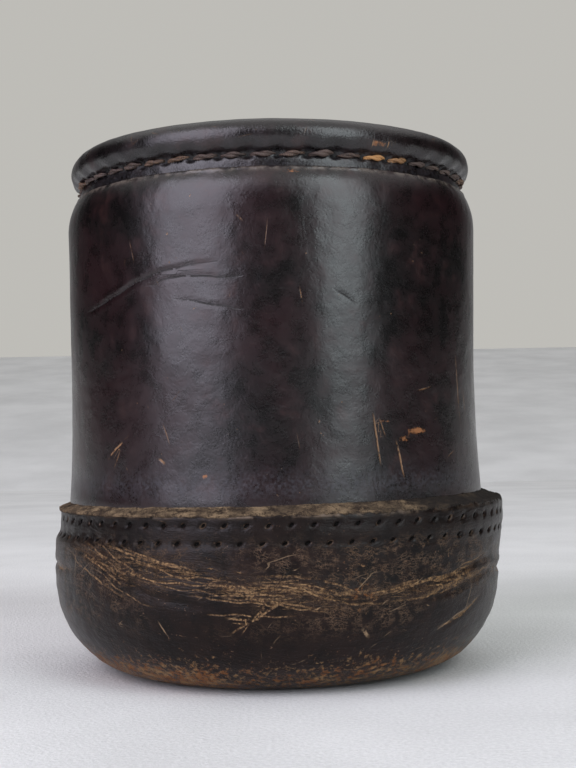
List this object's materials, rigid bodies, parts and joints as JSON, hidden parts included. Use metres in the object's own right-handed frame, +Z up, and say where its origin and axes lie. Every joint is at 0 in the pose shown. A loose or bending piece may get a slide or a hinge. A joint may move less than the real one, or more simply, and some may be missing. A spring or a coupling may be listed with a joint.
{
  "type": "leather dice cup",
  "caption": "Stitched leather dice cup: a lined sleeve with a corded rolled rim and a moulded cap sewn round its flat base.",
  "frame": {"origin": "centre of the flat underside of the cap, the face the cup stands on", "axes": "+Z up along the cup's axis, out of the mouth; -Y is the front; the sleeve's seam is at +Y"},
  "size_m": [0.0778, 0.0778, 0.088],
  "materials": {
    "body_leather": "glossy, worn, waxed",
    "rim_leather": "glossy black, creased",
    "cap_leather": "glossy, heavily worn",
    "lining_leather": "smooth, rubbed",
    "sole_leather": "raw",
    "rim_thread": "waxed linen",
    "base_thread": "waxed linen",
    "cord": "raw hemp"
  },
  "bodies": {
    "root": {"base_cap": "cap_leather", "body_sleeve": "body_leather", "body_seam_thread": "base_thread", "inner_lining": "lining_leather", "rim_binding": "rim_leather", "rim_core_cord": "cord", "rim_thread": "rim_thread", "base_thread_upper": "base_thread", "base_thread_lower": "base_thread", "bottom_lift_lower": "sole_leather", "bottom_lift_middle": "sole_leather", "bottom_lift_upper": "sole_leather", "floor_disc": "sole_leather", "floor_facing": "lining_leather"}
  },
  "joints": []
}
